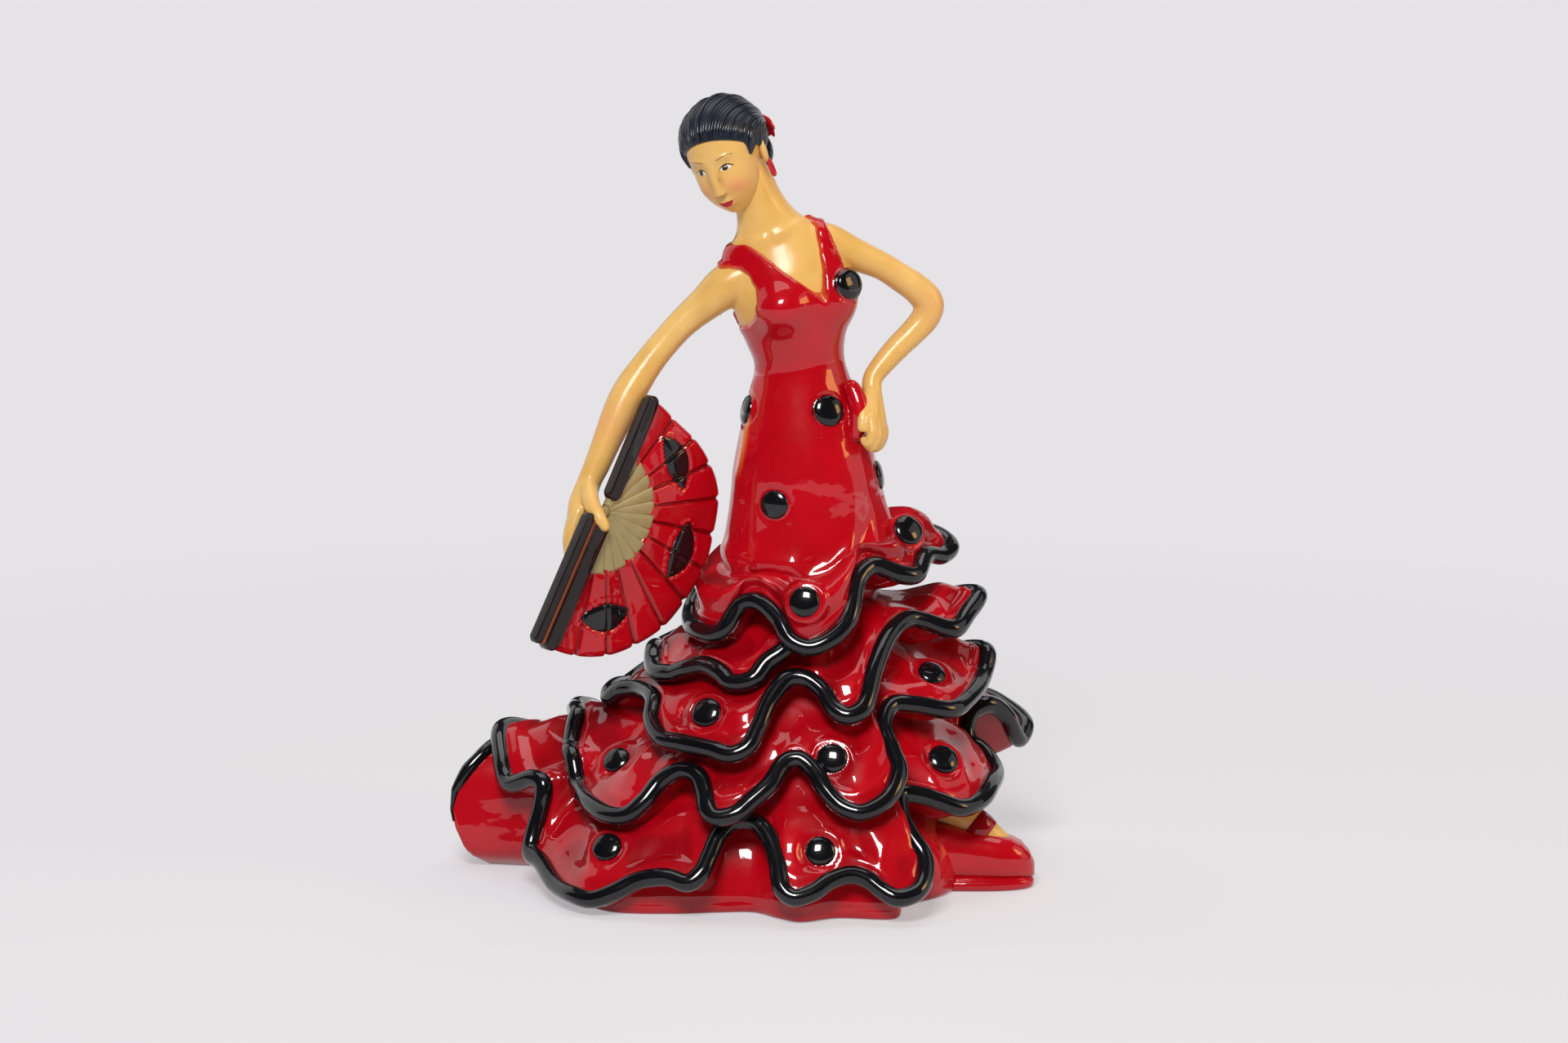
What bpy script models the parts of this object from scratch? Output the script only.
"""Dancer figurine with a flounced skirt and an open fan, about 160 mm tall.

Lengths are in metres. The figure looks toward -Y and stands on Z = 0. The skirt post is the
vertical axis of all skirt layers, and azimuth is counted from the front toward +X.
"""
import math

import bpy
from mathutils import Matrix, Vector
from mathutils.bvhtree import BVHTree

MM = 0.001

# Fits
FIT = 0.35 * MM
LAYER_FIT = 0.6 * MM
BEAD_FIT = 0.55 * MM
SEAT_FIT = 0.9 * MM
SHOULDER_FIT = 0.4 * MM
PIN_FIT = 0.1 * MM

# Skirt
POST_RADIUS = 9.0 * MM
POST_HEIGHT = 82.0 * MM
SKIRT_COLUMNS = 60
SKIRT_ROWS = 4
NECK_TILT = 3.5 * MM
CLOTH_LEAST = 3.5 * MM
CLOTH_MOST = 6.0 * MM
CLOTH_FLARE = 0.82
GROUND_GAP = 0.5 * MM
BEAD_RADIUS = 1.6 * MM
BEAD_SIDES = 6

# Train
TRAIN_AZIMUTH = -105.0
TRAIN_HEIGHT = 24.5 * MM
TRAIN_HALF_WIDTH = 13.5 * MM
TRAIN_END = 71.0 * MM
TRAIN_SQUARENESS = 24
TRAIN_BULGE = 2.2 * MM

# Height of the inner edge of each skirt layer
UNDERSKIRT_NECK = 40.0 * MM
BOTTOM_NECK = 45.5 * MM
THIRD_NECK = 53.0 * MM
SECOND_NECK = 60.0 * MM
SIDE_NECK = 65.5 * MM
TOP_NECK = 71.0 * MM

# Wall of the underskirt, as azimuth in degrees, then reach and height in millimetres
UNDERSKIRT_HEM = (
    (-168, 43, 3), (-145, 38, 5), (-128, 48, 4), (-120, 56, 4), (-113, 63, 6), (-105, 66, 8),
    (-97, 66.5, 8), (-91, 62, 5), (-85, 52, 3), (-75, 51, 3), (-62, 49, 3), (-49, 47, 2.5),
    (-36, 41, 3), (-18, 34, 4), (0, 39, 2.5), (13, 37, 4), (28, 41.5, 2.5), (41, 35, 9),
    (57, 36, 13), (80, 36, 15), (100, 36, 15), (118, 37, 9), (148, 43, 3), (170, 37, 5),
)
# Middle lines of the hem beads, in the same way
BOTTOM_HEM = (
    (-168, 47, 6), (-146, 40, 16), (-130, 49, 7), (-119, 51, 23), (-97, 58, 27), (-88, 57, 21.5),
    (-80, 50.5, 23.5), (-71, 53.5, 7), (-49, 52, 3.5), (-36, 44.3, 8.3), (-27, 43.3, 7.6),
    (-22, 34, 15.5), (-12, 34, 16.5), (-4, 41, 8), (0, 42.7, 5.5), (13, 40, 9.3), (27, 45.6, 5.2),
    (34, 45, 8), (41, 33.5, 21.5), (48, 34, 21.5), (57, 40, 18.6), (76, 41, 21), (86, 41, 22.5),
    (94, 38, 26), (100, 37.5, 32), (107, 48.5, 26), (118, 50, 29), (126, 46.5, 30), (136, 42, 22),
    (148, 47, 8), (170, 39, 18),
)
THIRD_HEM = (
    (-167, 41, 22), (-142, 35, 30), (-122, 44, 25), (-106, 46, 30), (-95, 43.8, 31), (-80, 44.5, 20.5),
    (-52, 44.5, 18.2), (-45, 35.5, 25.5), (-36, 32.5, 26.5), (-27, 37.5, 21.5), (-23, 39, 20.3),
    (-14, 36, 22.8), (-4, 28.7, 29.5), (5, 28.7, 29.5), (12, 35, 24), (20, 39, 21.3), (31, 37.8, 25.5),
    (38, 28.5, 35), (46, 26.5, 38.5), (54, 29.5, 38.5), (64, 34.7, 37.2), (80, 36.5, 39), (97, 39.5, 43.5),
    (118, 33, 41), (143, 41, 24), (168, 33, 32),
)
SECOND_HEM = (
    (-165, 36, 38), (-140, 29, 44), (-115, 36, 37), (-103, 33, 38), (-92, 37, 35), (-80, 30, 38.5),
    (-63, 29.5, 38.4), (-47, 34.7, 33.2), (-22, 34.2, 32), (-15, 32.5, 34), (-8, 25, 42.3), (-1, 22.5, 45),
    (7, 22.8, 45), (15, 28, 40), (21, 30.4, 38.8), (28, 30, 40.4), (38, 25.5, 47), (50, 22.5, 52),
    (67, 23.5, 54.2), (77, 32.4, 51.7), (88, 32, 54), (99, 37.5, 56), (120, 28, 52), (145, 36, 40),
    (170, 28, 46),
)
SIDE_HEM = (
    (-180, 24, 48), (-160, 28, 44), (-135, 24, 48), (-112, 28, 45), (-92, 27.5, 46), (-73, 28, 42.2),
    (-48, 23.6, 46.5), (-26, 26, 44), (-6, 20.5, 50.5), (14, 17.5, 56.5), (46, 16.5, 60), (75, 18, 59),
    (110, 19, 59), (150, 21, 53),
)
TOP_HEM = (
    (-150, 24, 56), (-122, 19, 60), (-95, 20.5, 54), (-52, 22, 52.7), (-38, 21, 54), (-31, 18, 58.5),
    (-21, 18, 59.4), (-8, 20.8, 56.6), (0, 23.3, 52.8), (8, 24.2, 51.5), (18, 24.2, 53), (28, 23, 56.8),
    (39, 19.5, 63.5), (51, 18.8, 65.5), (65, 25.6, 63.4), (84, 26, 66.5), (99, 32, 66.5), (122, 24, 68),
    (150, 27, 60), (178, 20, 63),
)
HEMS = {"bottom": BOTTOM_HEM, "third": THIRD_HEM, "second": SECOND_HEM, "side": SIDE_HEM, "top": TOP_HEM}
SIDE_BEAD_SPAN = (-190, -10)
TRAIN_BEAD_SPAN = (-120, -96)

# Body, as rings from the hips to the top of the neck: sideways place, height, lean in degrees,
# half width, half depth and place in depth
BODY = (
    (3.0, 70.0, 0, 15.3, 13.0, 0.0),
    (2.8, 79.0, 0, 14.7, 12.6, 0.0),
    (2.4, 87.0, 0, 13.2, 11.8, 0.0),
    (2.3, 95.5, 0, 11.2, 9.6, 0.0),
    (1.4, 104.0, 3, 8.4, 7.2, 0.0),
    (0.6, 110.0, 8, 9.4, 7.8, -0.3),
    (-0.4, 117.0, 14, 11.3, 8.6, -0.6),
    (-2.0, 123.0, 18, 11.6, 7.8, 0.0),
    (-4.2, 129.0, 20, 10.0, 6.2, 0.6),
    (-5.0, 132.5, 17, 6.6, 5.6, 0.6),
    (-6.6, 136.5, 16, 5.0, 5.0, 0.0),
    (-8.6, 141.0, 16, 4.7, 4.8, -0.6),
)
BODY_COLUMNS = 30
HIP_MARGIN = 2.4 * MM
DRESS_ROWS = 13
CHEST_ROWS = 7
NECK_ROW = 9.5
BUST_SIZE = 2.6 * MM
BUST_AZIMUTHS = (-8, 62)
BODY_CENTRE = (-1.6, 0.0, 121.5)
NECKLINE_GAP = 0.06
NECKLINE = ((-165, 6.8), (-112, 8.3), (-55, 8.4), (29, 6.1), (50, 8.5), (112, 8.5), (165, 7.0))

# Head
HEAD_PLACE = (-13.3, -2.0, 146.6)
HEAD_TURN = -24.0
HEAD_NOD = 12.0
HEAD_LEAN = -16.0
SKULL = (7.0, 8.4, 8.0)
SKULL_PLACE = (0.0, 1.4, 2.6)
FACE = (5.5, 6.2, 8.0)
FACE_PLACE = (0.0, -2.0, -3.7)
NOSE_SIZE = 1.5 * MM
HAIR_GAP = 0.5 * MM
HAIR_DEPTH = 1.3 * MM
HAIR_EDGE_DEPTH = 0.7 * MM
HAIR_COLUMNS = 22
HAIR_ROWS = 6
HAIRLINE_FRONT = 78.0
HAIRLINE_SIDE = 90.0
HAIRLINE_BACK = 100.0
BUN_WAY = (0.25, 0.9, -0.42)
BUN_RADIUS = 4.2 * MM
BUN_HEIGHT = 5.0 * MM
FLOWER_WAY = (0.6, 0.74, 0.36)
FLOWER_RADIUS = 2.7 * MM
FLOWER_HEIGHT = 2.4 * MM
FLOWER_PETALS = 5
EARRING_WAY = (1.0, 0.4, -0.2)
EARRING_RADIUS = 1.1 * MM
EARRING_LENGTH = 3.4 * MM

# Arms, as points along the limb: X, Y, Z and radius in millimetres
RIGHT_ARM = (
    (-12.4, -1.2, 120.6, 4.5), (-17.5, -2.0, 116.7, 3.6), (-22.0, -3.0, 112.9, 3.1),
    (-25.9, -4.0, 108.7, 3.0), (-29.2, -5.2, 104.6, 3.1), (-32.5, -7.0, 99.7, 3.4),
    (-34.6, -8.6, 95.4, 3.4), (-36.7, -10.4, 90.7, 2.9), (-38.7, -12.0, 86.0, 2.6),
    (-40.2, -13.0, 82.4, 2.6), (-41.6, -13.9, 78.0, 3.3), (-42.3, -14.6, 73.8, 3.2),
    (-42.6, -15.4, 70.4, 2.4),
)
LEFT_ARM = (
    (6.7, 0.2, 128.8, 3.8), (12.6, 0.5, 126.2, 3.4), (17.9, 1.2, 123.8, 2.9), (22.0, 2.0, 121.0, 2.9),
    (25.2, 2.5, 118.6, 3.1), (27.0, 2.6, 116.0, 3.2), (26.2, 2.0, 113.0, 2.9), (23.2, 0.9, 110.0, 2.7),
    (20.0, -0.6, 106.8, 2.5), (17.0, -2.2, 103.4, 2.2), (15.6, -3.8, 100.6, 2.1), (15.8, -5.4, 97.4, 2.6),
    (16.5, -6.6, 94.0, 3.0), (16.4, -7.0, 90.8, 2.6),
)
RIGHT_SHOULDER = (-5.0, -0.3, 124.5)
LEFT_SHOULDER = (1.5, 0.0, 128.0)
SHOULDER_RADIUS = 3.0 * MM
ARM_SIDES = 14

# Fan
FAN_PIVOT = (-37.5, -18.6, 77.9)
FAN_YAW = 40.0
FAN_START = -119.0
FAN_END = 58.0
FAN_REACH = 28.7 * MM
FAN_STICK_REACH = 12.5 * MM
FAN_FOLDS = 12
FAN_THICK = 1.5 * MM
FAN_PLEAT = 0.7 * MM
GUARD_WIDTH = 3.2 * MM
GUARD_THICK = 2.2 * MM
RIVET_RADIUS = 1.5 * MM
FAN_SPOTS = ((24.0, 0.76), (-28.0, 0.76), (-90.0, 0.74))
SPOT_LENGTH = 8.4 * MM
SPOT_WIDTH = 4.2 * MM
SPOT_HEIGHT = 0.8 * MM

# Foot
FOOT_AZIMUTH = 74.0
SHOE_LENGTH = 13.0 * MM
SHOE_WIDTH = 11.0 * MM
SHOE_HEIGHT = 9.2 * MM
FOOT_RADIUS = 2.7 * MM
FOOT_HEIGHT = 3.4 * MM
STRAP_RADIUS = 0.8 * MM

# Dots
DOT_RADIUS = 3.1 * MM
DOT_HEIGHT = 1.5 * MM
DOT_SIDES = 12
SKIRT_DOTS = (
    ("top", 8, 0.6), ("top", 106, 0.66), ("second", -37, 0.78), ("third", -73, 0.83), ("third", 17, 0.75),
    ("third", 76, 0.8), ("bottom", -54, 0.87), ("bottom", 10, 0.88), ("bottom", 66, 0.86),
    ("top", -158, 0.5), ("second", 146, 0.74), ("second", -162, 0.88), ("third", -125, 0.8),
    ("third", 168, 0.8), ("bottom", 148, 0.84), ("bottom", -166, 0.84),
)
DRESS_DOTS = ((52, 6.3), (26, 3.1), (-76, 3.0), (-26, 0.9), (84, 1.4), (170, 1.9), (-165, 4.9))

# Pins
PIN_RADIUS = 1.1 * MM
PIN_SIDES = 12
NECK_PIN_LENGTH = 14.0 * MM
SHOULDER_PIN_LENGTH = 13.0 * MM
FAN_PIN_REACH = 7.0 * MM

for old in list(bpy.data.objects):
    bpy.data.objects.remove(old, do_unlink=True)

ROOT = bpy.data.objects.new("figurine", None)
bpy.context.scene.collection.objects.link(ROOT)


def paint(name, colour, roughness, metallic=0.0):
    """Painted or bare surface of one kind of piece."""
    material = bpy.data.materials.new(name)
    material.use_nodes = True
    shader = material.node_tree.nodes["Principled BSDF"]
    shader.inputs["Base Color"].default_value = (*colour, 1.0)
    shader.inputs["Roughness"].default_value = roughness
    shader.inputs["Metallic"].default_value = metallic
    material.diffuse_color = (*colour, 1.0)
    return material


RED = paint("red_lacquer", (0.55, 0.012, 0.018), 0.22)
BLACK = paint("black_lacquer", (0.012, 0.011, 0.014), 0.15)
SKIN = paint("skin_lacquer", (0.72, 0.43, 0.16), 0.28)
HAIR = paint("hair_lacquer", (0.02, 0.021, 0.03), 0.3)
WOOD = paint("stick_lacquer", (0.38, 0.25, 0.08), 0.3)
DARK = paint("guard_lacquer", (0.035, 0.02, 0.016), 0.25)
STEEL = paint("pin_steel", (0.55, 0.55, 0.56), 0.35, 1.0)


def solid(name, points, faces, material, smooth=True):
    """One closed body from its corners and faces, with every face turned outward."""
    mesh = bpy.data.meshes.new(name)
    mesh.from_pydata([tuple(point) for point in points], [], faces)
    mesh.validate()
    mesh.materials.append(material)
    for face in mesh.polygons:
        face.use_smooth = smooth
    piece = bpy.data.objects.new(name, mesh)
    bpy.context.scene.collection.objects.link(piece)
    piece.parent = ROOT
    volume = 0.0
    mesh.calc_loop_triangles()
    for triangle in mesh.loop_triangles:
        a, b, c = (mesh.vertices[i].co for i in triangle.vertices)
        volume += a.dot(b.cross(c))
    if volume < 0:
        mesh.flip_normals()
    return piece


def loft(name, rings, material, start=None, end=None, smooth=True):
    """Skin over equal rings, closed at both ends by a fan to a middle point."""
    count = len(rings[0])
    points = [point for ring in rings for point in ring]
    faces = []
    for row in range(len(rings) - 1):
        for i in range(count):
            j = (i + 1) % count
            faces.append((row * count + i, row * count + j, (row + 1) * count + j, (row + 1) * count + i))
    for first, middle in ((0, start), (len(rings) - 1, end)):
        ring = rings[first]
        if middle is None:
            middle = sum(ring, Vector()) / count
        points.append(Vector(middle))
        apex = len(points) - 1
        for i in range(count):
            j = (i + 1) % count
            edge = (first * count + i, first * count + j)
            faces.append((edge[1], edge[0], apex) if first == 0 else (edge[0], edge[1], apex))
    return solid(name, points, faces, material, smooth)


def ring_body(name, columns, material):
    """Closed ring made of equal closed outlines set one after the other around the post."""
    rows = len(columns[0])
    points = [point for column in columns for point in column]
    faces = []
    for i in range(len(columns)):
        j = (i + 1) % len(columns)
        for k in range(rows):
            n = (k + 1) % rows
            faces.append((i * rows + k, j * rows + k, j * rows + n, i * rows + n))
    return solid(name, points, faces, material)


def tube(name, path, radii, sides, material, closed=False, lift=None):
    """Round bar along a path, with one radius for each point."""
    rings = []
    last = len(path) - 1
    for i, point in enumerate(path):
        before = path[i - 1] if i > 0 or closed else path[0]
        after = path[(i + 1) % len(path)] if i < last or closed else path[last]
        along = (after - before).normalized()
        guide = lift[i] if lift else Vector((0, 1, 0))
        side = along.cross(guide).normalized()
        up = side.cross(along)
        ring = []
        for k in range(sides):
            angle = math.tau * k / sides
            ring.append(point + radii[i] * (math.cos(angle) * side + math.sin(angle) * up))
        rings.append(ring)
    if closed:
        return ring_body(name, rings, material)
    return loft(name, rings, material)


def polar(azimuth, radius, height):
    """Point at an azimuth in degrees, a distance from the post and a height."""
    angle = math.radians(azimuth)
    return Vector((radius * math.sin(angle), -radius * math.cos(angle), height))


def eased(table, azimuth):
    """Values of a closed table of azimuths, joined by smooth steps."""
    for i, start in enumerate(table):
        end = table[(i + 1) % len(table)]
        span = (end[0] - start[0]) % 360
        along = (azimuth - start[0]) % 360
        if along <= span:
            share = along / span
            share = share * share * (3 - 2 * share)
            return [a + (b - a) * share for a, b in zip(start[1:], end[1:])]
    return list(table[0][1:])


def spread(rows, place):
    """Values between equally spaced rows, along a smooth curve through them."""
    place = min(max(place, 0.0), len(rows) - 1.0)
    i = min(int(place), len(rows) - 2)
    t = place - i
    p1, p2 = rows[i], rows[i + 1]
    p0 = rows[i - 1] if i > 0 else p1
    p3 = rows[i + 2] if i + 2 < len(rows) else p2
    values = []
    for a, b, c, d in zip(p0, p1, p2, p3):
        values.append(b + 0.5 * t * (c - a + t * (2 * a - 5 * b + 4 * c - d + t * (3 * (b - c) + d - a))))
    return values


def tree_of(*pieces):
    """Search tree over the outer faces of some pieces."""
    points = []
    faces = []
    for piece in pieces:
        base = len(points)
        points.extend(vertex.co.copy() for vertex in piece.data.vertices)
        faces.extend([base + i for i in face.vertices] for face in piece.data.polygons)
    return BVHTree.FromPolygons(points, faces)


# Skirt layers, from the ground up. Every layer rests on the layers and beads below it.

NECK_RADIUS = POST_RADIUS + FIT
AZIMUTHS = [-180 + 360 * i / SKIRT_COLUMNS for i in range(SKIRT_COLUMNS)]
ABOVE_ALL = 2 * POST_HEIGHT
PROBE = POST_HEIGHT / 4
DOWN = Vector((0, 0, -1))


def height_at(tree, point):
    """Height of the topmost surface under a place, or the ground."""
    hit = tree.ray_cast(Vector((point.x, point.y, ABOVE_ALL)), DOWN)[0] if tree else None
    return hit.z if hit else 0.0


def train_height(azimuth, radius):
    """Height of the rounded ridge of the train."""
    off = math.radians(azimuth - TRAIN_AZIMUTH)
    if math.cos(off) <= 0:
        return 0.0
    along = radius * math.cos(off)
    share = min(abs(radius * math.sin(off)) / TRAIN_HALF_WIDTH, 1.0)
    start = min(max(along / TRAIN_HALF_WIDTH - 1.5, 0.0), 1.0)
    end = max(1 - (along / TRAIN_END) ** TRAIN_SQUARENESS, 0.0) ** 0.5
    return TRAIN_HEIGHT * (1 - share ** 2.8) ** 0.5 * start * end


def keep_clear(path, tree, room, closed):
    """Push a path away from surfaces that it would touch."""
    last = len(path) - 1
    for turn in range(4):
        for i, point in enumerate(path):
            samples = [point]
            if closed or i < last:
                samples.append(point.lerp(path[(i + 1) % len(path)], 0.4))
            if closed or i > 0:
                samples.append(point.lerp(path[i - 1], 0.4))
            for sample in samples:
                near, normal, index, gap = tree.find_nearest(sample)
                if gap < room:
                    path[i] = path[i] + (sample - near).normalized() * (room - gap)


class Layer:
    """Surface of one skirt layer, as columns of radius, top and underside."""

    def __init__(self, neck, hem, below, train=False):
        tree = tree_of(*below) if below else None
        self.nodes = []
        for azimuth in AZIMUTHS:
            reach, height = (value * MM for value in eased(hem, azimuth))
            if below:
                reach -= BEAD_RADIUS + BEAD_FIT
                height += BEAD_RADIUS
            inner = neck + NECK_TILT * math.sin(math.radians(azimuth))
            column = []
            for row in range(SKIRT_ROWS):
                share = row / (SKIRT_ROWS - 1)
                radius = NECK_RADIUS + (reach - NECK_RADIUS) * share
                top = inner + (height - inner) * share ** CLOTH_FLARE
                if train:
                    top = max(top, train_height(azimuth, radius))
                rest = GROUND_GAP
                if tree:
                    rest = max(rest, height_at(tree, polar(azimuth, radius, 0)) + LAYER_FIT)
                if tree and row == SKIRT_ROWS - 1:
                    outer = height_at(tree, polar(azimuth, radius + BEAD_RADIUS, 0)) + LAYER_FIT
                    rest = max(rest, outer)
                column.append([radius, top, rest])
            self.nodes.append(column)
        if tree:
            self.settle(tree)
            for column in self.nodes:
                for node in column:
                    node[1] = max(node[1], node[2] + CLOTH_LEAST)
                    node[2] = max(node[2], node[1] - CLOTH_MOST)

    def settle(self, tree):
        """Raise the underside wherever it would sink into what lies below between its corners."""
        shares = (0.0, 0.25, 0.5, 0.75, 1.0)
        for i, column in enumerate(self.nodes):
            j = (i + 1) % SKIRT_COLUMNS
            for k in range(SKIRT_ROWS - 1):
                beside = self.nodes[j]
                corners = [(i, column[k]), (i, column[k + 1]), (j, beside[k]), (j, beside[k + 1])]
                a, b, c, d = (polar(AZIMUTHS[n], node[0], node[2]) for n, node in corners)
                for u in shares:
                    for v in shares:
                        weights = ((1 - u) * (1 - v), u * (1 - v), (1 - u) * v, u * v)
                        place = a * weights[0] + b * weights[1] + c * weights[2] + d * weights[3]
                        sunk = height_at(tree, place) + LAYER_FIT - place.z
                        if sunk > 0:
                            total = sum(weight * weight for weight in weights)
                            for weight, (n, node) in zip(weights, corners):
                                node[2] += sunk * weight / total
                            a, b, c, d = (polar(AZIMUTHS[n], node[0], node[2]) for n, node in corners)

    def top(self, row):
        """Ring of upper points at one row."""
        return [polar(a, column[row][0], column[row][1]) for a, column in zip(AZIMUTHS, self.nodes)]

    def ring(self, name):
        """Solid ring of the layer."""
        columns = []
        for azimuth, column in zip(AZIMUTHS, self.nodes):
            outline = [polar(azimuth, radius, top) for radius, top, rest in column]
            outline += [polar(azimuth, radius, rest) for radius, top, rest in reversed(column)]
            columns.append(outline)
        return ring_body(name, columns, RED)

    def bead(self, name, hosts, span=None):
        """Round bead just outside the hem edge and level with it."""
        edge = self.top(SKIRT_ROWS - 1)
        first = 0
        count = SKIRT_COLUMNS
        if span:
            first = round((span[0] + 180) * SKIRT_COLUMNS / 360)
            count = round((span[1] - span[0]) * SKIRT_COLUMNS / 360) + 1
        path = []
        lift = []
        for step in range(first, first + count):
            here = edge[step % SKIRT_COLUMNS]
            along = edge[(step + 1) % SKIRT_COLUMNS] - edge[(step - 1) % SKIRT_COLUMNS]
            out = Vector((along.y, -along.x, 0)).normalized()
            up = along.cross(out).normalized()
            path.append(here + out * (BEAD_FIT + BEAD_RADIUS) + up * BEAD_RADIUS * (1 if up.z < 0 else -1))
            lift.append(out)
        keep_clear(path, tree_of(*hosts), BEAD_RADIUS + FIT, not span)
        radii = [BEAD_RADIUS] * len(path)
        return tube(name, path, radii, BEAD_SIDES, BLACK, closed=not span, lift=lift)


# The underskirt has a flat underside, upright walls and the post that all layers thread on.
underskirt_layer = Layer(UNDERSKIRT_NECK, UNDERSKIRT_HEM, [], train=True)
foot_ring = []
wall_ring = []
swell_ring = []
for azimuth, column in zip(AZIMUTHS, underskirt_layer.nodes):
    reach, height, ground = column[-1]
    foot_ring.append(polar(azimuth, reach - MM, 0))
    wall_ring.append(polar(azimuth, reach, min(MM, 0.5 * height)))
    swell = TRAIN_BULGE * min(train_height(azimuth, reach) / TRAIN_HEIGHT, 1.0)
    swell_ring.append(polar(azimuth, reach + swell, 0.5 * height))
rings = [foot_ring, wall_ring, swell_ring]
for row in reversed(range(SKIRT_ROWS)):
    rings.append(underskirt_layer.top(row))
neck_row = len(rings)
rings.append([polar(a, POST_RADIUS, column[0][1]) for a, column in zip(AZIMUTHS, underskirt_layer.nodes)])
rings.append([polar(azimuth, POST_RADIUS, POST_HEIGHT - MM) for azimuth in AZIMUTHS])
rings.append([polar(azimuth, POST_RADIUS - MM, POST_HEIGHT) for azimuth in AZIMUTHS])
underskirt = loft("underskirt", rings, RED)
skirt = loft("skirt_rest", rings[:neck_row], RED)
stack = [skirt]
stack.append(underskirt_layer.bead("hem_bead_train", stack, TRAIN_BEAD_SPAN))

flounces = {}
for part, neck, span in (
    ("bottom", BOTTOM_NECK, None),
    ("third", THIRD_NECK, None),
    ("second", SECOND_NECK, None),
    ("side", SIDE_NECK, SIDE_BEAD_SPAN),
    ("top", TOP_NECK, None),
):
    layer = Layer(neck, HEMS[part], stack)
    flounces["flounce_" + part] = layer.ring("flounce_" + part)
    stack.append(flounces["flounce_" + part])
    stack.append(layer.bead("hem_bead_" + part, stack, span))
bpy.data.objects.remove(skirt, do_unlink=True)

# Body: one shape, parted at the neckline into the dress and the bare chest with the neck.


def body_point(azimuth, row):
    """Point on the body at an azimuth and a place along its rings."""
    x, z, lean, wide, deep, y = spread(BODY, row)
    angle = math.radians(azimuth)
    tilt = math.radians(lean)
    bust = 0.0
    for middle in BUST_AZIMUTHS:
        away = ((azimuth - middle + 180) % 360 - 180) / 24
        bust += BUST_SIZE * math.exp(-away * away - ((row - 6.1) / 0.75) ** 2)
    side = (wide * MM + bust) * math.sin(angle)
    front = (deep * MM + bust) * math.cos(angle)
    return Vector((x * MM + side * math.cos(tilt), y * MM - front, z * MM + side * math.sin(tilt)))


def neckline(azimuth):
    """Place along the body rings where the dress ends."""
    for i, start in enumerate(NECKLINE):
        end = NECKLINE[(i + 1) % len(NECKLINE)]
        span = (end[0] - start[0]) % 360
        along = (azimuth - start[0]) % 360
        if along <= span:
            return start[1] + (end[1] - start[1]) * along / span
    return NECKLINE[0][1]


BODY_AZIMUTHS = [-180 + 360 * i / BODY_COLUMNS for i in range(BODY_COLUMNS)]
top_tree = tree_of(flounces["flounce_top"])


def hip_seat(point):
    """Place just above the top flounce."""
    around = [point]
    for k in range(24):
        angle = math.tau * k / 8
        around.append(point + HIP_MARGIN * (k // 8 + 1) / 3 * Vector((math.sin(angle), math.cos(angle), 0)))
    height = max(height_at(top_tree, place) for place in around)
    return Vector((point.x, point.y, height + LAYER_FIT))


body_centre = Vector(BODY_CENTRE) * MM
socket = POST_RADIUS + FIT
hips = [hip_seat(body_point(azimuth, 0)) for azimuth in BODY_AZIMUTHS]
rings = [
    [polar(azimuth, socket, POST_HEIGHT + FIT) for azimuth in BODY_AZIMUTHS],
    [hip_seat(polar(azimuth, socket + MM, 0)) for azimuth in BODY_AZIMUTHS],
]
for i, azimuth in enumerate(BODY_AZIMUTHS):
    rings[1][i] = Vector((*polar(azimuth, socket, 0).xy, rings[1][i].z))
for share in (0.33, 0.66, 1.0):
    ring = []
    for inner, outer in zip(rings[1], hips):
        ring.append(hip_seat(inner.lerp(outer, share)))
    rings.append(ring)
for row in range(1, DRESS_ROWS + 1):
    rings.append([body_point(a, neckline(a) * row / DRESS_ROWS) for a in BODY_AZIMUTHS])
dress = loft("dress", rings, RED, end=body_centre)

head_turn = Matrix.Rotation(math.radians(HEAD_LEAN), 3, "Y")
head_turn = head_turn @ Matrix.Rotation(math.radians(HEAD_TURN), 3, "Z")
head_turn = head_turn @ Matrix.Rotation(math.radians(HEAD_NOD), 3, "X")
HEAD_MIDDLE = Vector(HEAD_PLACE) * MM


def reach_to(direction, middle, sizes):
    """Distance from the head's middle to an ovoid along a direction."""
    a = sum((direction[i] / sizes[i]) ** 2 for i in range(3))
    b = sum(direction[i] * middle[i] / sizes[i] ** 2 for i in range(3))
    c = sum((middle[i] / sizes[i]) ** 2 for i in range(3)) - 1
    return (b + math.sqrt(max(b * b - a * c, 0.0))) / a


def head_reach(direction):
    """Distance from the head's middle to its surface along a direction."""
    skull = reach_to(direction, SKULL_PLACE, SKULL)
    face = reach_to(direction, FACE_PLACE, FACE)
    blend = 6.0
    reach = math.log(math.exp(blend * skull / 8) + math.exp(blend * face / 8)) * 8 / blend - 0.35
    nose = (direction[0] / 0.16) ** 2 + ((direction[2] + 0.18) / 0.2) ** 2
    if direction[1] < 0:
        reach += NOSE_SIZE / MM * math.exp(-nose)
    return reach * MM


def head_point(direction, extra=0.0):
    """Point on the head, or a little outside it."""
    direction = Vector(direction).normalized()
    return HEAD_MIDDLE + head_turn @ (direction * (head_reach(direction) + extra))


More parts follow.
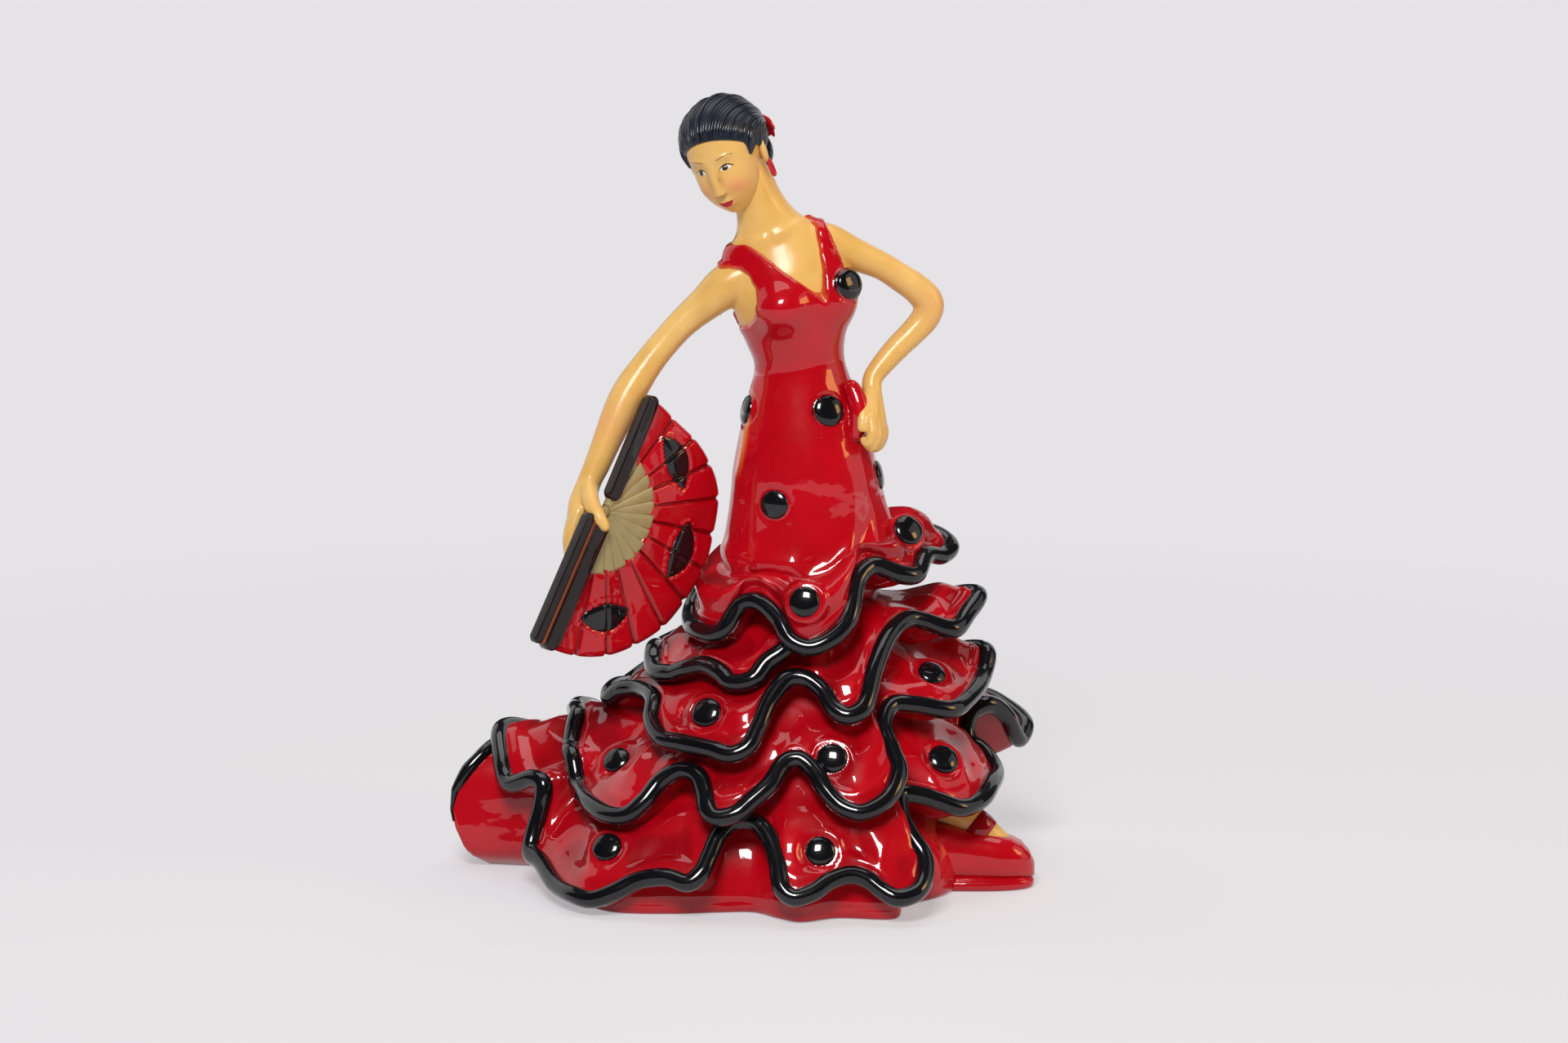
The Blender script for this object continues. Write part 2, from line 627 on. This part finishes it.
rings = []
for row in range(1, 12):
    polar_angle = math.pi * row / 12
    ring = []
    for i in range(20):
        turn = math.tau * i / 20
        ring.append(head_point((
            math.sin(polar_angle) * math.sin(turn),
            -math.sin(polar_angle) * math.cos(turn),
            -math.cos(polar_angle),
        )))
    rings.append(ring)
head = loft("head", rings, SKIN, start=head_point((0, 0, -1)), end=head_point((0, 0, 1)))
head_tree = tree_of(head)

rings = []
for row in range(CHEST_ROWS + 1):
    ring = []
    for azimuth in BODY_AZIMUTHS:
        low = neckline(azimuth) + NECKLINE_GAP
        ring.append(body_point(azimuth, low + (NECK_ROW - low) * row / CHEST_ROWS))
    rings.append(ring)
neck_axis = (HEAD_MIDDLE - sum(rings[-1], Vector()) / BODY_COLUMNS).normalized()
neck_top = sum(rings[-1], Vector()) / BODY_COLUMNS


def under_head(point):
    """Place just below the head, along the neck."""
    gap = head_tree.ray_cast(point, neck_axis)[3]
    return point + neck_axis * (max(gap - SEAT_FIT, 0) if gap else FIT)


neck_edge = rings[-1]
for share in (1.0, 0.75, 0.5, 0.25):
    rings.append([under_head(neck_top.lerp(point, share)) for point in neck_edge])
neck_top = under_head(neck_top)
chest = loft("chest_and_neck", rings, SKIN, start=body_centre + Vector((0, 0, 2 * FIT)), end=neck_top)

# Hair: a shell over the skull, combed back, with a bun and a flower behind.

HAIR_AXIS = Vector((0, 0.45, 0.9)).normalized()
HAIR_SIDE = Vector((1, 0, 0))
HAIR_FRONT = HAIR_AXIS.cross(HAIR_SIDE)


def hair_ring(share, extra):
    """Ring around the crown at a share of the way to the hairline."""
    ring = []
    for i in range(HAIR_COLUMNS):
        turn = math.tau * i / HAIR_COLUMNS
        front = math.cos(turn)
        limit = HAIRLINE_SIDE
        limit += (HAIRLINE_FRONT - HAIRLINE_SIDE) * max(front, 0) ** 2
        limit += (HAIRLINE_BACK - HAIRLINE_SIDE) * max(-front, 0) ** 2
        angle = math.radians(limit * share)
        flat = HAIR_SIDE * math.sin(turn) - HAIR_FRONT * front
        ring.append(head_point(HAIR_AXIS * math.cos(angle) + flat * math.sin(angle), extra))
    return ring


rings = []
for row in range(1, HAIR_ROWS + 1):
    rings.append(hair_ring(row / HAIR_ROWS, HAIR_GAP))
for row in range(HAIR_ROWS, 0, -1):
    share = row / HAIR_ROWS
    depth = HAIR_DEPTH + (HAIR_EDGE_DEPTH - HAIR_DEPTH) * share ** 3
    rings.append(hair_ring(share, HAIR_GAP + depth))
hair = loft(
    "hair", rings, HAIR,
    start=head_point(HAIR_AXIS, HAIR_GAP), end=head_point(HAIR_AXIS, HAIR_GAP + HAIR_DEPTH),
)


def dome(name, hosts, point, away, radius, height, sides, material, petals=0, long=1.0, guide=(0, 0, 1)):
    """Low dome seated on its hosts, with its base along their surface."""
    tree = tree_of(*hosts)
    away = Vector(away).normalized()
    side = Vector(guide).cross(away).normalized()
    up = away.cross(side)

    def seat(place):
        gap = tree.ray_cast(place + away * PROBE, -away)[3]
        return place + away * (PROBE - gap + SEAT_FIT) if gap else None

    base = []
    for k in range(sides):
        angle = math.tau * k / sides
        out = radius * (1 + 0.16 * math.cos(petals * angle)) if petals else radius
        base.append(point + out * (math.cos(angle) * side * long + math.sin(angle) * up))
    middle = seat(point)
    seated = [seat(place) or place + away * (middle - point).dot(away) for place in base]
    lowest = max((place - middle).dot(away) for place in seated + [middle])
    rim = 0.25 * height
    rings = [seated]
    for share, rise in ((1.0, rim), (0.66, 0.85 * height)):
        ring = []
        for place in base:
            flat = point + (place - point) * share
            ring.append(flat + away * ((middle - point).dot(away) + lowest + rise))
        rings.append(ring)
    top = middle + away * (lowest + height)
    return loft(name, rings, material, start=middle, end=top)


def head_side(direction):
    """Direction on the head, in the figure's space."""
    return head_turn @ Vector(direction).normalized()


bun = dome("hair_bun", [hair], head_point(BUN_WAY), head_side(BUN_WAY), BUN_RADIUS, BUN_HEIGHT, 16, HAIR)
flower = dome(
    "hair_flower", [hair], head_point(FLOWER_WAY), head_side(FLOWER_WAY),
    FLOWER_RADIUS, FLOWER_HEIGHT, 20, RED, petals=FLOWER_PETALS,
)
for name, side in (("earring_left", 1), ("earring_right", -1)):
    place = head_point((side * EARRING_WAY[0], *EARRING_WAY[1:]), EARRING_RADIUS + SEAT_FIT)
    path = [place - Vector((0, 0, EARRING_LENGTH * k / 4)) for k in range(5)]
    tube(name, path, [EARRING_RADIUS * k for k in (0.4, 0.7, 1.0, 0.9, 0.45)], 8, RED)

# Arms: limbs that end where they meet the shoulder.

rings = []
for row in range(8, 20):
    ring = [body_point(azimuth, row / 2) for azimuth in BODY_AZIMUTHS]
    middle = sum(ring, Vector()) / BODY_COLUMNS
    rings.append([point + (point - middle).normalized() * SHOULDER_FIT for point in ring])
shoulders = loft("shoulder_shape", rings, SKIN)
shoulders.hide_render = True
shoulders.display_type = "WIRE"
shoulder_tree = tree_of(shoulders)


def arm(name, joint, course):
    """Limb with its base cut to the shape of the shoulder."""
    rows = [(*joint, SHOULDER_RADIUS / MM), *course]
    rings = []
    steps = 2 * (len(rows) - 1)
    for step in range(steps + 1):
        x, y, z, radius = spread(rows, step / 2)
        ahead = Vector(spread(rows, step / 2 + 0.1)[:3])
        behind = Vector(spread(rows, step / 2 - 0.1)[:3])
        along = (ahead - behind).normalized()
        side = along.cross(Vector((0, 1, 0))).normalized()
        up = side.cross(along)
        ring = []
        for k in range(ARM_SIDES):
            angle = math.tau * k / ARM_SIDES
            offset = radius * (math.cos(angle) * side + math.sin(angle) * up)
            ring.append((Vector((x, y, z)) + offset) * MM)
        rings.append(ring)
    tip = sum(rings[-1], Vector()) / ARM_SIDES + along * radius * 0.6 * MM
    limb = loft(name, rings, SKIN, end=tip)
    cut = limb.modifiers.new("shoulder", "BOOLEAN")
    cut.operation = "DIFFERENCE"
    cut.solver = "EXACT"
    cut.object = shoulders
    start = Vector(course[1][:3]) * MM
    way = (start - Vector(joint) * MM).normalized()
    gap = shoulder_tree.ray_cast(start, -way)[3]
    return limb, way, start - way * gap


right_arm, right_way, right_base = arm("arm_right", RIGHT_SHOULDER, RIGHT_ARM)
left_arm, left_way, left_base = arm("arm_left", LEFT_SHOULDER, LEFT_ARM)

# Fan: a pleated leaf on a sector of sticks between two guards, pinned to the hand.

fan_turn = math.radians(FAN_YAW)
FAN_ALONG = Vector((math.cos(fan_turn), math.sin(fan_turn), 0))
FAN_UP = Vector((0, 0, 1))
FAN_FACE = FAN_ALONG.cross(FAN_UP)
PIVOT = Vector(FAN_PIVOT) * MM


def fan_point(along, up, out=0.0):
    """Point in the plane of the fan, measured from its pivot."""
    return PIVOT + FAN_ALONG * along + FAN_UP * up + FAN_FACE * out


def fan_sheet(name, inner, outer, material):
    """Pleated sector of the fan between two radii."""
    rings = []
    steps = 2 * FAN_FOLDS
    for step in range(steps + 1):
        angle = math.radians(FAN_START + (FAN_END - FAN_START) * step / steps)
        pleat = FAN_PLEAT * (0.5 if step % 2 else -0.5)
        ring = []
        for reach, out in ((inner, -0.5), (outer, -0.5), (outer, 0.5), (inner, 0.5)):
            relief = pleat * min(reach / FAN_STICK_REACH, 1.0) + out * FAN_THICK
            ring.append(fan_point(reach * math.cos(angle), reach * math.sin(angle), relief))
        rings.append(ring)
    return loft(name, rings, material, smooth=False)


def fan_guard(name, angle, side):
    """Outer stick laid along one edge of the fan."""
    angle = math.radians(angle)
    along = Vector((math.cos(angle), math.sin(angle)))
    across = Vector((-along.y, along.x)) * side
    rings = []
    start = RIVET_RADIUS + 2 * FIT
    shift = across * (GUARD_WIDTH / 2 + FIT)
    for share, size in ((0.0, 0.6), (0.03, 0.9), (0.3, 1.0), (0.9, 1.0), (0.97, 0.85), (1.0, 0.45)):
        middle = along * (start + (FAN_REACH - start) * share) + shift
        ring = []
        for k in range(10):
            turn = math.tau * k / 10
            place = middle + across * (GUARD_WIDTH / 2 * size * math.cos(turn))
            ring.append(fan_point(place.x, place.y, GUARD_THICK / 2 * size * math.sin(turn)))
        rings.append(ring)
    return loft(name, rings, DARK)


fan_leaf = fan_sheet("fan_leaf", FAN_STICK_REACH + FIT, FAN_REACH, RED)
fan_sticks = fan_sheet("fan_sticks", RIVET_RADIUS + FIT, FAN_STICK_REACH, WOOD)
fan_guard("fan_guard_upper", FAN_END, 1)
fan_guard("fan_guard_lower", FAN_START, -1)
for number, (angle, share) in enumerate(FAN_SPOTS, 1):
    turn = math.radians(angle)
    way = Vector((math.cos(turn), math.sin(turn)))
    place = fan_point(way.x * FAN_REACH * share, way.y * FAN_REACH * share)
    radial = FAN_ALONG * way.x + FAN_UP * way.y
    dome(
        "fan_spot_%d" % number, [fan_leaf], place, FAN_FACE, SPOT_WIDTH / 2, SPOT_HEIGHT, DOT_SIDES, BLACK,
        long=SPOT_LENGTH / SPOT_WIDTH, guide=radial,
    )

# Foot: a shoe against the wall of the underskirt, with the instep and a strap on it.

foot_way = polar(FOOT_AZIMUTH, 1, 0)
foot_side = Vector((-foot_way.y, foot_way.x, 0))
wall_tree = tree_of(underskirt)
wall = 0.0
for step in range(-6, 7):
    start = foot_way * ABOVE_ALL + foot_side * (SHOE_WIDTH * step / 12) + Vector((0, 0, MM))
    wall = max(wall, ABOVE_ALL - wall_tree.ray_cast(start, -foot_way)[3])
rings = []
for share, wide, tall in ((0, 1, 1), (0.3, 1, 0.86), (0.62, 0.92, 0.72), (0.86, 0.7, 0.6), (1, 0.3, 0.3)):
    middle = foot_way * (wall + 2 * FIT + SHOE_LENGTH * share)
    ring = []
    for k in range(11):
        angle = math.pi * k / 10
        across = foot_side * (SHOE_WIDTH / 2 * wide * math.cos(angle))
        ring.append(middle + across + Vector((0, 0, SHOE_HEIGHT * tall * math.sin(angle))))
    rings.append(ring)
shoe = loft("shoe", rings, RED)
instep = foot_way * (wall + 2 * FIT + 1.5 * FOOT_RADIUS)
foot = dome(
    "foot", [shoe], instep + Vector((0, 0, SHOE_HEIGHT)), (0, 0, 1), FOOT_RADIUS, FOOT_HEIGHT,
    DOT_SIDES, SKIN, long=1.4, guide=foot_side,
)
path = []
foot_tree = tree_of(foot, shoe)
for step in range(-5, 6):
    place = instep + foot_side * (1.25 * FOOT_RADIUS * step / 5)
    path.append(Vector((place.x, place.y, height_at(foot_tree, place) + STRAP_RADIUS + 2 * FIT)))
keep_clear(path, foot_tree, STRAP_RADIUS + FIT, False)
tube("shoe_strap", path, [STRAP_RADIUS] * len(path), 8, RED, lift=[foot_way] * len(path))

# Dots: low domes on the dress and on the flounces.

dots = []
for part, azimuth, share in SKIRT_DOTS:
    host = flounces["flounce_" + part]
    reach = eased(HEMS[part], azimuth)[0] * MM - BEAD_RADIUS - BEAD_FIT
    place = polar(azimuth, NECK_RADIUS + (reach - NECK_RADIUS) * share, ABOVE_ALL)
    dots.append(([host], place, DOWN))
for azimuth, row in DRESS_DOTS:
    place = body_point(azimuth, row)
    way = -polar(azimuth, 1, 0)
    dots.append(([dress, chest], place - way * PROBE, way))
for number, (hosts, start, way) in enumerate(dots, 1):
    point, normal, index, gap = tree_of(*hosts).ray_cast(start, way)
    dome("dot_%02d" % number, hosts, point, normal, DOT_RADIUS, DOT_HEIGHT, DOT_SIDES, BLACK)

# Pins that hold the head, the arms and the fan.


def rod(name, start, way, length, radius):
    """Straight round bar."""
    path = [start, start + way * length / 2, start + way * length]
    guide = Vector((0, 1, 0)) if abs(way.y) < 0.8 else Vector((0, 0, 1))
    return tube(name, path, [radius] * 3, PIN_SIDES, STEEL, lift=[guide] * 3)


def pin(name, start, way, length, radius, bored):
    """Pin with a bored hole in every piece that it enters."""
    rod(name, start, way, length, radius)
    cutter = rod(name + "_bore", start - way * PIN_FIT, way, length + 2 * PIN_FIT, radius + PIN_FIT)
    cutter.hide_render = True
    cutter.display_type = "WIRE"
    for piece in bored:
        cut = piece.modifiers.new(name, "BOOLEAN")
        cut.operation = "DIFFERENCE"
        cut.solver = "EXACT"
        cut.object = cutter


rivet_base = PIVOT - FAN_FACE * FAN_PIN_REACH
pin("fan_rivet", rivet_base, FAN_FACE, FAN_PIN_REACH + FAN_THICK, RIVET_RADIUS, [right_arm])
neck_base = neck_top - neck_axis * NECK_PIN_LENGTH / 2
pin("neck_pin", neck_base, neck_axis, NECK_PIN_LENGTH, PIN_RADIUS, [chest, head])
for name, base, way, bored in (
    ("shoulder_pin_right", right_base, right_way, [dress, right_arm]),
    ("shoulder_pin_left", left_base, left_way, [dress, chest, left_arm]),
):
    start = base - way * SHOULDER_PIN_LENGTH / 2
    pin(name, start, way, SHOULDER_PIN_LENGTH, PIN_RADIUS, bored)

# The whole figure stands on Z = 0, centred on the vertical axis.

bpy.context.view_layer.update()
graph = bpy.context.evaluated_depsgraph_get()
corners = []
for piece in bpy.context.scene.objects:
    if piece.type == "MESH" and not piece.hide_render:
        corners += [vertex.co.copy() for vertex in piece.evaluated_get(graph).data.vertices]
low = [min(corner[i] for corner in corners) for i in range(3)]
high = [max(corner[i] for corner in corners) for i in range(3)]
ROOT.location = (-(low[0] + high[0]) / 2, -(low[1] + high[1]) / 2, -low[2])
bpy.context.view_layer.update()
